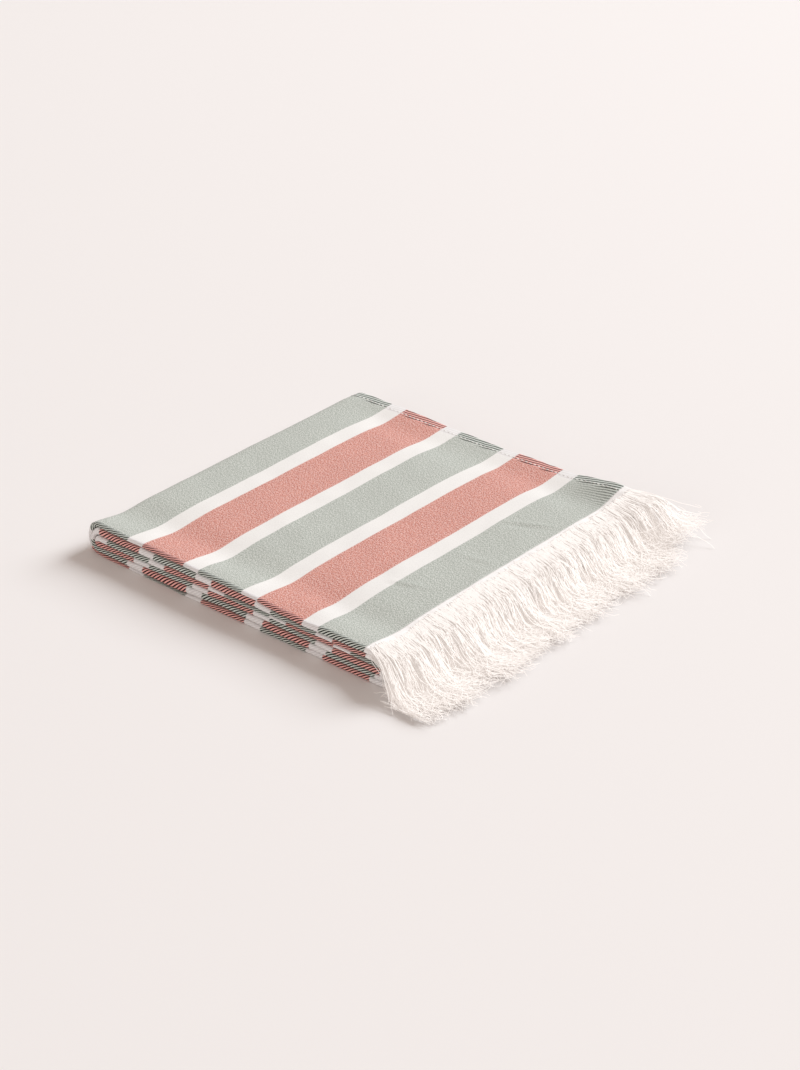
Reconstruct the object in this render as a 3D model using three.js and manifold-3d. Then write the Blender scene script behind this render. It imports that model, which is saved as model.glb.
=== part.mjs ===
// A folded fouta: a flat-woven striped cotton towel with a fringe at each end.
// It is folded in three across its width, and that strip is folded into six rows along its length.
// Millimetres, +Z up. X runs across the stripes with the fringe at +X, Y runs along the stripes,
// and the towel rests on the plane Z = 0.
import * as THREE from "three";
import { mergeVertices } from "three/addons/utils/BufferGeometryUtils.js";
import Module from "manifold-3d";

// Driving sizes of the cloth
const STRIPE = 45; // a green or coral stripe
const WHITE = 16; // the white stripe between two coloured ones
const STRIPES_ON_TOP = 5;
const END_BAND = 14; // plain white weaving between the last stripe and the fringe
const THIRD = 312; // a third of the finished width, which is the depth of the stack
const LAYER = 1.3;
const HEM = 10; // turned side hem
const HEM_RISE = 0.4; // how far the turned hem stands over the single cloth

// Driving sizes of the folded stack
const GAP = 0.3; // between pieces at a seam
const LAYER_GAP = 0.4; // between layers that lie on each other
const ROWS = 6;
const ROW = 3 * LAYER;
const PITCH = ROW + LAYER_GAP;
const NEAR_HEIGHT = ROWS * PITCH - LAYER_GAP; // along the folded near edge, the fullest one
const MIDDLE_HEIGHT = 24;
const FAR_HEIGHT = 24.7; // at the far left corner
const FAR_SAG = 2.1; // how much lower the middle of the far edge lies
const NEAR_FADE = 25;
const FAR_FADE = 22;
// Soft troughs run along the near fold and along the hem: how deep, how far in, and how wide
const NEAR_TROUGH = { depth: 2.5, inset: 36, width: 18 };
const FAR_TROUGH = { depth: 2.9, inset: 28, width: 16 };
// The far corner at the fringe stands up a little
const CORNER_LIFT = { height: 5.6, alongX: 38, alongY: 28 };
const EDGE_DRIFT = 0.8; // how far one row's edge stands out past the next one's
const DRIFT_FADE = 30;
const NEAR_SPREAD = 3.3; // how far the lowest row's near fold lies in front of the top one's

// The striped length that shows on top, from the left fold to the end band
const STRIPED = STRIPES_ON_TOP * STRIPE + (STRIPES_ON_TOP - 1) * WHITE;
const MIDDLE_ROW = (ROWS + 1) / 2;
const WRAP_CENTRE = NEAR_HEIGHT / 2;

// The rows in the order that the cloth runs, from the fringed end on top to the one under it.
// Row 1 is the top one, turn is the side that it turns on, and centre is the X of that turn.
const FOLDS = [
  { row: 1, turn: "left", centre: WRAP_CENTRE },
  { row: 6, turn: "right", centre: 303 },
  { row: 3, turn: "left", centre: 15 },
  { row: 4, turn: "right", centre: 302 },
  { row: 5, turn: "left", centre: 13 },
];
const LAST_ROW = 2;
const LAST_ROW_END = 290; // where the stripes of row 2 end and its white band starts
const LINING_LAP = 2;
const FOLD_LIP = 6; // the pressed lip of the near fold, under the top panel
const PRESSED_INSET = 8; // how deep the layers show at the edges before they are one solid

// The fringes. Each strand leaves the end band, drops over the brink and lies out on the floor.
// air is the most of its reach that a strand spends above the floor.
const STRAND_RADIUS = 0.75;
const STRAND_SIDES = 3;
const STRAND_STEPS = 5;
const STRAND_ROOT = 3; // how far a strand is sunk into its band
const FLOOR_CLEAR = 0.4;
const LEVELS = 3; // a strand leaves each of the three layers in turn
const GATHER = 1.5;
const GATHER_LENGTH = 26;
const FRINGES = {
  fringe_top: { row: 1, from: STRIPED, strands: 108, brink: 15, landing: 50, air: 0.92, uneven: 3 },
  fringe_under: { row: LAST_ROW, from: LAST_ROW_END, strands: 66, brink: 8, landing: 30, air: 0.8, uneven: 1 },
};
// How far the strands reach past their band, and how far they lean along Y, by place along the band
const REACH = [
  { y: 0, fringe_top: 58, fringe_under: 37, lean: -16 },
  { y: 12, fringe_top: 61, fringe_under: 37, lean: -5 },
  { y: 90, fringe_top: 60, fringe_under: 36, lean: 0 },
  { y: 190, fringe_top: 65, fringe_under: 37, lean: 1 },
  { y: 270, fringe_top: 66, fringe_under: 37, lean: 4 },
  { y: THIRD, fringe_top: 36, fringe_under: 25, lean: 27 },
];

const COLOURS = { coral: 0xdba397, green: 0xc1c3b9, white: 0xf3efe9 };
const ARC_STEPS = 8; // round the side turns
const FOLD_STEPS = 6; // round the near and far folds
// Places that all the rows share, so that the flat facets of neighbours lie on each other
const X_STATIONS = [45, 80, 115, 150, 185, 220, 250, 272, STRIPED];
const Y_STATIONS = [10, 22, 36, 50, 70, 156, 244, 264, 284, 300];

const wasm = await Module();
wasm.setup();

// A smooth fade, 1 at distance 0 and nearly 0 past twice the length.
function fade(distance, length) {
  return Math.exp(-((distance / length) ** 2));
}

// The height of the stack at a place: full along the near fold, with a soft trough behind it,
// flat inside, and at the far edge a second trough, a sagging hem and a lifted corner.
function stackHeight(x, y) {
  const fromFar = THIRD - y;
  const across = Math.max(0, 1 - ((2 * x) / STRIPED - 1) ** 2);
  const nearRise = (NEAR_HEIGHT - MIDDLE_HEIGHT) * fade(y, NEAR_FADE);
  const farRise = (FAR_HEIGHT - FAR_SAG * across - MIDDLE_HEIGHT) * fade(fromFar, FAR_FADE);
  const nearTrough = NEAR_TROUGH.depth * fade(y - NEAR_TROUGH.inset, NEAR_TROUGH.width);
  const farTrough = FAR_TROUGH.depth * fade(fromFar - FAR_TROUGH.inset, FAR_TROUGH.width);
  const fromCorner = Math.max(0, STRIPED - x);
  const corner = fade(fromCorner, CORNER_LIFT.alongX) * fade(fromFar, CORNER_LIFT.alongY);
  const rises = nearRise + farRise + CORNER_LIFT.height * corner;
  return MIDDLE_HEIGHT + rises - nearTrough - farTrough;
}

// How far a row's edge stands out at a length along the cloth.
function edgeDrift(length) {
  return EDGE_DRIFT * (0.6 * Math.sin(length / 61) + 0.4 * Math.sin(length / 23 + 1));
}

// Moves a point of the level stack to where it lies in the settled one, never under the floor.
// The rows' edges drift, and their near folds stand further out the lower they lie.
function settle(x, y, z, length) {
  const level = Math.max(0, z);
  const spread = NEAR_SPREAD * (1 - Math.min(1, level / NEAR_HEIGHT) ** 2.5);
  const nearPull = (spread + edgeDrift(length)) * Math.max(0, 1 - y / DRIFT_FADE);
  const farPull = edgeDrift(length + THIRD) * Math.max(0, 1 - (THIRD - y) / DRIFT_FADE);
  const height = (level * stackHeight(x, y)) / NEAR_HEIGHT;
  return new THREE.Vector3(x, y - nearPull - farPull, height);
}

// The height of a row's middle in the level stack.
function rowHeight(row) {
  return ROW / 2 + (ROWS - row) * PITCH;
}

// One end, the shared places between two ends, and the other end.
function placesBetween(shared, from, to) {
  const low = Math.min(from, to);
  const high = Math.max(from, to);
  const inner = shared.filter((place) => place > low + 1 && place < high - 1);
  const ordered = from < to ? inner : inner.reverse();
  return [from, ...ordered, to];
}

// One straight run of the cloth from one X to another, as stations with their outward direction.
function run(row, from, to) {
  const outward = to < from ? 1 : -1;
  const z = rowHeight(row);
  return placesBetween(X_STATIONS, from, to).map((x) => ({ x, z, nx: 0, nz: outward }));
}

// A half turn between two rows, about a centre at the given X.
function turn(fromRow, toRow, side, centre) {
  const top = rowHeight(fromRow);
  const bottom = rowHeight(toRow);
  const radius = (top - bottom) / 2;
  const sideways = side === "left" ? -1 : 1;
  const inOrOut = Math.sign(radius) * -sideways;
  return Array.from({ length: ARC_STEPS + 1 }, (_, i) => {
    const angle = (Math.PI * i) / ARC_STEPS;
    return {
      x: centre + sideways * Math.abs(radius) * Math.sin(angle),
      z: (top + bottom) / 2 + radius * Math.cos(angle),
      nx: inOrOut * sideways * Math.sin(angle),
      nz: inOrOut * Math.sign(radius) * Math.cos(angle),
    };
  });
}

// Adds each station's length along the cloth, and drops the ones that repeat a place.
function measured(stations, start) {
  let length = start;
  const kept = [];
  for (const station of stations) {
    const last = kept[kept.length - 1];
    const step = last ? Math.hypot(station.x - last.x, station.z - last.z) : 0;
    length += step;
    if (!last || step > 0.01) kept.push({ ...station, length });
  }
  return kept;
}

// The outer stretch: along row 1 from the end band, then round the left side to the floor.
function outerRoute() {
  const [first, second] = FOLDS;
  return measured(
    [...run(1, STRIPED, first.centre), ...turn(1, second.row, first.turn, first.centre)],
    0,
  );
}

// The lining of the outer stretch reaches a little into row 6, to join it.
function liningRoute() {
  const foot = FOLDS[0].centre;
  return measured([...outerRoute(), ...run(FOLDS[1].row, foot, foot + LINING_LAP)], 0);
}

// The hidden stretch: from the foot of the left wrap, through rows 6, 3, 4 and 5, to the end of row 2.
function hiddenRoute() {
  const stations = [];
  let from = FOLDS[0].centre + GAP;
  for (let i = 1; i < FOLDS.length; i += 1) {
    const fold = FOLDS[i];
    const nextRow = i + 1 < FOLDS.length ? FOLDS[i + 1].row : LAST_ROW;
    stations.push(...run(fold.row, from, fold.centre));
    stations.push(...turn(fold.row, nextRow, fold.turn, fold.centre));
    from = fold.centre;
  }
  stations.push(...run(LAST_ROW, from, LAST_ROW_END));
  return measured(stations, outerRoute().at(-1).length);
}

// Part of a circle in the plane of a section, as points (y, n) about a centre.
function arc(y, n, radius, fromDegrees, toDegrees, steps) {
  return Array.from({ length: steps + 1 }, (_, i) => {
    const angle = THREE.MathUtils.degToRad(THREE.MathUtils.lerp(fromDegrees, toDegrees, i / steps));
    return new THREE.Vector2(y + radius * Math.cos(angle), n + radius * Math.sin(angle));
  });
}

// A line of points (y, n) at one height, from one Y to another.
function level(n, fromY, toY) {
  return placesBetween(Y_STATIONS, fromY, toY).map((y) => new THREE.Vector2(y, n));
}

// The section of a row of three layers: a round near fold, and at the far edge
// the free flap's edge lying on the round fold of the other flap.
function rowSection() {
  const half = ROW / 2;
  const fold = (ROW - LAYER - LAYER_GAP) / 2;
  const flapUnder = half - LAYER;
  return [
    ...level(-half, THIRD - 1 - fold, half),
    ...arc(half, 0, half, 270, 90, FOLD_STEPS).slice(1, -1),
    ...level(half, half, THIRD - 0.5),
    new THREE.Vector2(THIRD, half - 0.5),
    new THREE.Vector2(THIRD, flapUnder),
    new THREE.Vector2(THIRD - 2.5, flapUnder),
    new THREE.Vector2(THIRD - 2.5, flapUnder - LAYER_GAP),
    ...arc(THIRD - 1 - fold, flapUnder - LAYER_GAP - fold, fold, 90, -90, FOLD_STEPS).slice(0, -1),
  ];
}

// The two layers under the top panel: square where they meet the panel's fold, round at the far edge.
function liningSection() {
  const half = ROW / 2;
  const fold = (ROW - LAYER - LAYER_GAP) / 2;
  const top = half - LAYER - LAYER_GAP;
  return [
    ...level(-half, THIRD - 1 - fold, FOLD_LIP + GAP),
    ...level(top, FOLD_LIP + GAP, THIRD - 1 - fold),
    ...arc(THIRD - 1 - fold, top - fold, fold, 90, -90, FOLD_STEPS).slice(1, -1),
  ];
}

// The top panel: one layer of cloth, closed by the round near fold with its pressed lip.
function panelSection() {
  const half = ROW / 2;
  const farEdge = THIRD - HEM - GAP;
  return [
    new THREE.Vector2(FOLD_LIP, -half),
    ...arc(half, 0, half, 270, 90, FOLD_STEPS),
    ...level(half, half, farEdge).slice(1),
    ...level(half - LAYER, farEdge, FOLD_LIP),
  ];
}

// The side hem: the cloth turned under on itself, a little thicker than the panel.
function hemSection() {
  const under = ROW / 2 - LAYER;
  const over = ROW / 2 + HEM_RISE;
  const inner = THIRD - HEM;
  return [
    new THREE.Vector2(inner, under),
    new THREE.Vector2(THIRD - 0.4, under),
    new THREE.Vector2(THIRD, under + 0.5),
    new THREE.Vector2(THIRD, over - 0.6),
    new THREE.Vector2(THIRD - 0.6, over),
    new THREE.Vector2(inner + 0.8, over),
    new THREE.Vector2(inner, over - HEM_RISE),
  ];
}

// A closed solid through rings of points. flatten gives a ring's points in the plane of its end.
// Each quad is split along the diagonal that rises in X and Y together, the same in every layer.
function loft(rings, flatten) {
  const count = rings[0].length;
  const points = rings.flat();
  const faces = [];
  for (let i = 0; i + 1 < rings.length; i += 1) {
    for (let j = 0; j < count; j += 1) {
      const a = i * count + j;
      const b = i * count + ((j + 1) % count);
      const alongX = points[a + count].x - points[a].x;
      const alongY = points[b].y - points[a].y;
      if (alongX * alongY > 0) faces.push(a, b, b + count, a, b + count, a + count);
      else faces.push(a, b, a + count, b, b + count, a + count);
    }
  }
  for (const [a, b, c] of THREE.ShapeUtils.triangulateShape(flatten(rings[0], 0), [])) {
    faces.push(a, c, b);
  }
  const end = rings.length - 1;
  for (const corners of THREE.ShapeUtils.triangulateShape(flatten(rings[end], end), [])) {
    faces.push(...corners.map((corner) => end * count + corner));
  }
  const geometry = new THREE.BufferGeometry().setFromPoints(points);
  geometry.setIndex(faces);
  return asSolid(geometry);
}

// The manifold solid of a closed geometry, turned to face outwards.
function asSolid(geometry) {
  const merged = mergeVertices(geometry, 1e-4);
  const vertProperties = new Float32Array(merged.attributes.position.array);
  const triVerts = new Uint32Array(merged.index.array);
  const solid = new wasm.Manifold(new wasm.Mesh({ numProp: 3, vertProperties, triVerts }));
  if (solid.volume() > 0) return solid;
  return new wasm.Manifold(
    new wasm.Mesh({ numProp: 3, vertProperties, triVerts: triVerts.reverse() }),
  );
}

// Carries a section along a stretch of the cloth and settles it.
function stretch(stations, outline) {
  const section = THREE.ShapeUtils.isClockWise(outline) ? outline.reverse() : outline;
  const rings = stations.map((station) =>
    section.map((point) =>
      settle(
        station.x + point.y * station.nx,
        point.x,
        station.z + point.y * station.nz,
        station.length,
      ),
    ),
  );
  return loft(rings, (ring, i) =>
    ring.map((point) => new THREE.Vector2(point.y, point.z * Math.sign(stations[i].nz))),
  );
}

// The pressed inside of the stack, set in from the edges, where the hidden layers are one solid.
function pressedInside() {
  const middle = rowHeight(MIDDLE_ROW);
  const wrap = rowHeight(1) - middle;
  const rightFold = FOLDS[1];
  const rightMiddle = (rowHeight(rightFold.row) + rowHeight(FOLDS[2].row)) / 2;
  const rightRadius = rightMiddle - rowHeight(rightFold.row);
  const bandEdge = STRIPED - 2;
  const outline = [
    ...run(6, WRAP_CENTRE, rightFold.centre).map(({ x, z }) => new THREE.Vector2(x, z)),
    ...arc(rightFold.centre, rightMiddle, rightRadius, -90, 90, ARC_STEPS).slice(1),
    new THREE.Vector2(bandEdge, rightMiddle + rightRadius),
    ...run(1, bandEdge, WRAP_CENTRE).map(({ x }) => new THREE.Vector2(x, rowHeight(1) - 0.5)),
    ...arc(WRAP_CENTRE, middle, wrap - 0.5, 90, 270, ARC_STEPS).slice(1, -1),
  ];
  const stations = [PRESSED_INSET, ...Y_STATIONS.slice(1), THIRD - PRESSED_INSET];
  const rings = stations.map((y) => outline.map((point) => settle(point.x, y, point.y, 0)));
  return loft(rings, (ring) => ring.map((point) => new THREE.Vector2(point.x, point.z)));
}

// A value of the reach table at a place along the band.
function fromReach(column, y) {
  const next = Math.max(1, REACH.findIndex((entry) => entry.y >= y));
  const low = REACH[next - 1];
  const high = REACH[next];
  return THREE.MathUtils.mapLinear(y, low.y, high.y, low[column], high[column]);
}

// The places along one strand, as distances past its band: root, brink, landing and tip.
function strandPlaces(fringe, reach) {
  const landing = Math.min(fringe.landing, fringe.air * reach);
  const falling = STRAND_STEPS - 2;
  const drop = Array.from({ length: falling + 1 }, (_, i) =>
    THREE.MathUtils.lerp(fringe.brink, landing, i / falling),
  );
  return { landing, places: [-STRAND_ROOT, ...drop, reach] };
}

// The height of a point of a band's end, on the flat facets between its stations.
function bandHeight(x, y, z) {
  const places = [0, ...Y_STATIONS, THIRD];
  const next = Math.max(1, places.findIndex((place) => place >= y));
  const low = places[next - 1];
  const high = places[next];
  return THREE.MathUtils.mapLinear(y, low, high, settle(x, low, z, 0).z, settle(x, high, z, 0).z);
}

// One strand: a thin three-sided lock that leaves its band, drops and lies out on the floor.
function strand(name, index) {
  const fringe = FRINGES[name];
  const bandEnd = fringe.from + END_BAND;
  const rootY = ((index + 0.5) * THIRD) / fringe.strands;
  const layer = (index % LEVELS) - (LEVELS - 1) / 2;
  const rowLevel = rowHeight(fringe.row) + layer * LAYER * 0.8;
  const uneven = fringe.uneven * (Math.sin(index * 2.4) + Math.sin(index * 0.37));
  const reach = fromReach(name, rootY) + uneven;
  const lean = fromReach("lean", rootY) + GATHER * Math.sin((2 * Math.PI * rootY) / GATHER_LENGTH);
  const low = FLOOR_CLEAR + STRAND_RADIUS + 0.3 * (index % LEVELS);
  const { landing, places } = strandPlaces(fringe, reach);
  const centres = places.map((past) => {
    const fall = THREE.MathUtils.smoothstep(past, fringe.brink, landing);
    const out = Math.max(0, past / reach);
    const y = rootY + lean * out ** 1.4;
    const carried = bandHeight(bandEnd, THREE.MathUtils.clamp(y, 0, THIRD), rowLevel);
    return new THREE.Vector3(bandEnd + past, y, THREE.MathUtils.lerp(carried, low, fall));
  });
  const rings = centres.map((_, i) => strandRing(centres, i));
  return loft(rings, (ring) => ring.map((point) => new THREE.Vector2(point.y, point.z)));
}

// The three corners of a strand at one of its places, square to its run.
function strandRing(centres, i) {
  const before = centres[Math.max(0, i - 1)];
  const after = centres[Math.min(centres.length - 1, i + 1)];
  const along = after.clone().sub(before).normalize();
  const up = new THREE.Vector3().crossVectors(along, new THREE.Vector3(0, 1, 0)).normalize();
  const side = new THREE.Vector3().crossVectors(up, along);
  return Array.from({ length: STRAND_SIDES }, (_, k) => {
    const angle = Math.PI / 2 + (2 * Math.PI * k) / STRAND_SIDES;
    return centres[i]
      .clone()
      .addScaledVector(side, STRAND_RADIUS * Math.cos(angle))
      .addScaledVector(up, STRAND_RADIUS * Math.sin(angle));
  });
}

// A fringe: the white end band of one row, with its strands fused into its edge.
function fringeSolid(name) {
  const fringe = FRINGES[name];
  const start = fringe.from + GAP;
  const band = measured(run(fringe.row, start, fringe.from + END_BAND), 0);
  const section = rowSection();
  const outward = fringe.row === 1 ? 1 : -1;
  const stations = band.map((station) => ({ ...station, nz: outward }));
  let solid = stretch(stations, section);
  for (let i = 0; i < fringe.strands; i += 1) solid = solid.add(strand(name, i));
  return solid;
}

// A named mesh of a solid, in one of the cloth's colours.
function piece(name, solid, colour) {
  const mesh = solid.getMesh();
  const geometry = new THREE.BufferGeometry();
  geometry.setAttribute("position", new THREE.BufferAttribute(mesh.vertProperties, 3));
  geometry.setIndex(new THREE.BufferAttribute(mesh.triVerts, 1));
  geometry.computeVertexNormals();
  const cotton = new THREE.MeshStandardMaterial({ color: colour, roughness: 0.95, metalness: 0 });
  const made = new THREE.Mesh(geometry, cotton);
  made.name = name;
  return made;
}

const outer = outerRoute();

const foldedCore = stretch(liningRoute(), liningSection())
  .add(stretch(hiddenRoute(), rowSection()))
  .add(pressedInside());

const towel = new THREE.Group();
towel.add(piece("folded_core", foldedCore, COLOURS.coral));
towel.add(piece("top_panel", stretch(outer, panelSection()), COLOURS.green));
towel.add(piece("side_hem", stretch(outer, hemSection()), COLOURS.green));
for (const name of Object.keys(FRINGES)) {
  towel.add(piece(name, fringeSolid(name), COLOURS.white));
}

// The frame's origin is under the middle of the whole towel.
const box = new THREE.Box3().setFromObject(towel);
towel.position.set(-(box.min.x + box.max.x) / 2, -(box.min.y + box.max.y) / 2, -box.min.z);

export default towel;
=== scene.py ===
import bpy
import numpy as np
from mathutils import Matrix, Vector


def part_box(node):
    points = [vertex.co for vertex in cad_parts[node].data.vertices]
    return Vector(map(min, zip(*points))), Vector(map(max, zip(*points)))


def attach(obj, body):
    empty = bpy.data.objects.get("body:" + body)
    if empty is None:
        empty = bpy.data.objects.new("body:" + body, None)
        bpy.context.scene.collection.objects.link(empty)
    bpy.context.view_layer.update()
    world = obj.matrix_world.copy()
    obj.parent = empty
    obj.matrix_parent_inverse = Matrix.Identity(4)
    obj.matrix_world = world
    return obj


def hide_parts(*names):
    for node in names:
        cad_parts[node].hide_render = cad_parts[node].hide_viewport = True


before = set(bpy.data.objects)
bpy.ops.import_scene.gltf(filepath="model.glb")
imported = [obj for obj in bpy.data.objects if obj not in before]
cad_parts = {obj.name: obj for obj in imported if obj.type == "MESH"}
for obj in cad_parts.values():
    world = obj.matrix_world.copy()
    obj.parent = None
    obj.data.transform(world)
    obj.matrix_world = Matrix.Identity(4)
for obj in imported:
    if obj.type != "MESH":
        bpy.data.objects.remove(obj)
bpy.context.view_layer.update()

# The camera looks down on the towel from beyond its near fold, turned towards the fringed side.
# Its distance and lens come from fitting the photograph's perspective to the folded rectangle.
MM = 0.001
THIRD = 312  # a third of the finished width, which is the depth of the stack
FAR_DRIFT = 0.8  # how far the far edge stands out at most
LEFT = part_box("top_panel")[0][0]
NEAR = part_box("folded_core")[1][1] - (THIRD + FAR_DRIFT) * MM
VIEW_TURN = np.radians(40.79)
VIEW_HEIGHT = np.radians(29.29)
VIEW_DISTANCE = 2091.9
VIEW_AIM = (170.86, 175.57, 0)
PHOTO_LONG_SIDE = 1070  # pixels
FOCAL_LENGTH = 2642.7  # pixels
SENSOR_WIDTH = 36  # millimetres of the camera's own
VIEW_LIMIT = 50  # metres


def placed(points):
    """Points in the towel's own millimetres, as metres in the frame."""
    return np.asarray(points, float) * MM + np.array([LEFT, NEAR, 0.0])


camera_data = bpy.data.cameras.new("photo_view")
camera_data.sensor_width = SENSOR_WIDTH
camera_data.lens = FOCAL_LENGTH * SENSOR_WIDTH / PHOTO_LONG_SIDE
camera_data.clip_end = VIEW_LIMIT
camera = bpy.data.objects.new("photo_view", camera_data)
backwards = Vector((
    np.sin(VIEW_TURN) * np.cos(VIEW_HEIGHT),
    -np.cos(VIEW_TURN) * np.cos(VIEW_HEIGHT),
    np.sin(VIEW_HEIGHT),
))
camera.location = Vector(placed(VIEW_AIM)) + backwards * VIEW_DISTANCE * MM
camera.rotation_euler = backwards.to_track_quat("Z", "Y").to_euler()
bpy.context.scene.collection.objects.link(camera)
bpy.context.scene.camera = camera

# The floor is a plain pale surface, lit by a large soft light behind the towel, a weaker one in
# front and a pale room. It is the stage, not part of the object.
FLOOR_COLOUR = (0.862, 0.824, 0.804, 1)
FLOOR_HALF = 6  # metres
ROOM_COLOUR = (1.0, 0.86, 0.78, 1)
ROOM_STRENGTH = 0.44


def material_of(name):
    """A new material with nodes: the material, its node tree and its main shader."""
    material = bpy.data.materials.new(name)
    material.use_nodes = True
    tree = material.node_tree
    shader = tree.nodes["Principled BSDF"]
    return material, tree, shader


floor_mesh = bpy.data.meshes.new("floor")
corners = [
    (-FLOOR_HALF, -FLOOR_HALF, 0),
    (FLOOR_HALF, -FLOOR_HALF, 0),
    (FLOOR_HALF, FLOOR_HALF, 0),
    (-FLOOR_HALF, FLOOR_HALF, 0),
]
floor_mesh.from_pydata(corners, [], [(0, 1, 2, 3)])
floor = bpy.data.objects.new("floor", floor_mesh)
bpy.context.scene.collection.objects.link(floor)
floor_paint, _, floor_shader = material_of("pale_floor")
floor_shader.inputs["Base Color"].default_value = FLOOR_COLOUR
floor_shader.inputs["Roughness"].default_value = 0.9
floor_mesh.materials.append(floor_paint)

bpy.context.scene.view_settings.view_transform = "Standard"
room = bpy.data.worlds.new("pale_room")
room.use_nodes = True
background = room.node_tree.nodes["Background"]
background.inputs["Color"].default_value = ROOM_COLOUR
background.inputs["Strength"].default_value = ROOM_STRENGTH
bpy.context.scene.world = room


def soft_light(name, place, size, power, colour):
    """A square area light at a place in metres that faces the middle of the towel."""
    data = bpy.data.lights.new(name, "AREA")
    data.shape = "SQUARE"
    data.size = size
    data.energy = power
    data.color = colour
    light = bpy.data.objects.new(name, data)
    light.location = place
    light.rotation_euler = Vector(place).to_track_quat("Z", "Y").to_euler()
    bpy.context.scene.collection.objects.link(light)


soft_light("window_light", place=(4.4, 13.2, 9.0), size=10, power=3450, colour=(0.90, 0.955, 1.0))
soft_light("front_fill", place=(2.0, -15.9, 5.2), size=10, power=570, colour=(0.93, 0.97, 1.0))

# The cloth of the top: one layer of cotton from the far hem across the top, round the near fold,
# and round the left side to the floor. It is woven in one length with the folded rows under it.
STRIPE = 45  # the width of a coloured stripe
WHITE = 16  # the width of a white one
REPEAT = 2 * (STRIPE + WHITE)
STRIPED = 5 * STRIPE + 4 * WHITE  # the width of a row from its first stripe to its fifth
LAYER = 1.3  # each of a row's three pressed layers
LAYER_GAP = 0.4  # the gap between two rows
ROWS = 6
ROW = 3 * LAYER
HALF = ROW / 2
PITCH = ROW + LAYER_GAP
NEAR_HEIGHT = ROWS * PITCH - LAYER_GAP
MIDDLE_HEIGHT = 24  # the stack's height away from its edges
FAR_HEIGHT = 24.7  # its height at the ends of the far edge
FAR_SAG = 2.1  # how much lower the far edge lies in its middle
CLOTH = 0.7  # the thickness of a single cloth
HEM = 10  # the width of the turned hem
LAST_ROW = 2
LAST_ROW_END = 290
# The runs in the order that the cloth takes them: the row, the x where the run starts and ends,
# and the places in the stripe pattern at its start and end
RUNS = (
    {"row": 1, "from": STRIPED, "to": 12.7, "pattern": (0.0, 276.3)},
    {"row": 6, "from": 12.7, "to": 306, "pattern": (315.6, 604.0)},
    {"row": 3, "from": 306, "to": 14, "pattern": (626.0, 908.6)},
    {"row": 4, "from": 14, "to": 305, "pattern": (921.9, 1202.7)},
    {"row": 5, "from": 305, "to": 13, "pattern": (1216.0, 1495.6)},
    {"row": LAST_ROW, "from": 13, "to": LAST_ROW_END, "pattern": (1523.9, 1800.9)},
)


def fade(distance, length):
    """A smooth fade: 1 at distance 0, nearly 0 past twice the length."""
    return np.exp(-((distance / length) ** 2))


def rise(value, low, high):
    """A smooth step from 0 at low to 1 at high."""
    t = np.clip((value - low) / (high - low), 0, 1)
    return t * t * (3 - 2 * t)


def row_height(row):
    """The height of a row's middle in the level stack."""
    return HALF + (ROWS - row) * PITCH


def folding_legs():
    """The straight runs and half turns in the order that the cloth takes them, and its length."""
    legs, length = [], 0.0
    for run, after in zip(RUNS, RUNS[1:] + (None,)):
        heading = np.sign(run["to"] - run["from"])
        legs.append({"from": length, "x": run["from"], "heading": heading, "row": run["row"]})
        length += abs(run["to"] - run["from"])
        if after:
            radius = (row_height(run["row"]) - row_height(after["row"])) / 2
            legs.append({
                "from": length, "x": run["to"], "side": heading, "row": run["row"], "radius": radius,
            })
            length += np.pi * abs(radius)
    return legs, length


LEGS, STRIPES_END = folding_legs()
OUTER_END = LEGS[2]["from"]  # where the outer wrap reaches the floor


def pattern_place(s):
    """The place in the stripe pattern at a length s: straight lines between the runs' ends."""
    lengths = [leg["from"] for leg in LEGS] + [STRIPES_END]
    places = [place for run in RUNS for place in run["pattern"]]
    beyond = np.maximum(s - STRIPES_END, 0) + np.minimum(s, 0)
    return np.interp(s, lengths, places) + beyond


def route(s):
    """Where the middle of a row lies at a length s along the cloth, and its outward direction.

    On a run x moves evenly and the direction is up or down. On a half turn x and z follow a
    circle about the turn's centre, and the direction turns with it.
    """
    x, z, nx, nz = (np.zeros(np.shape(s)) for _ in range(4))
    ends = [leg["from"] for leg in LEGS[1:]] + [np.inf]
    for i, (leg, end) in enumerate(zip(LEGS, ends)):
        here = (s < end) & ((s >= leg["from"]) | (i == 0))
        past = s[here] - leg["from"]
        height = row_height(leg["row"])
        if "radius" in leg:
            radius, side = leg["radius"], leg["side"]
            angle = past / abs(radius)
            x[here] = leg["x"] + side * abs(radius) * np.sin(angle)
            z[here] = height - radius + radius * np.cos(angle)
            nx[here] = -np.sign(radius) * np.sin(angle)
            nz[here] = -side * np.cos(angle)
        else:
            x[here] = leg["x"] + leg["heading"] * past
            z[here] = height
            nz[here] = -leg["heading"]
    return x, z, nx, nz


# Lengths across the cloth, from the far hem over the top flap, round the near fold, along the
# bottom third, round the far fold, and back along the inner flap
NEAR_FOLD = THIRD - HALF
NEAR_FOLD_END = NEAR_FOLD + np.pi * HALF
FAR_RADIUS = (ROW - LAYER - LAYER_GAP) / 2
FAR_CENTRE = THIRD - 1 - FAR_RADIUS
FAR_FOLD = NEAR_FOLD_END + FAR_CENTRE - HALF
FAR_FOLD_END = FAR_FOLD + np.pi * FAR_RADIUS
HEM_RADIUS = 0.6
HEM_TURN = -np.pi * HEM_RADIUS


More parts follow.
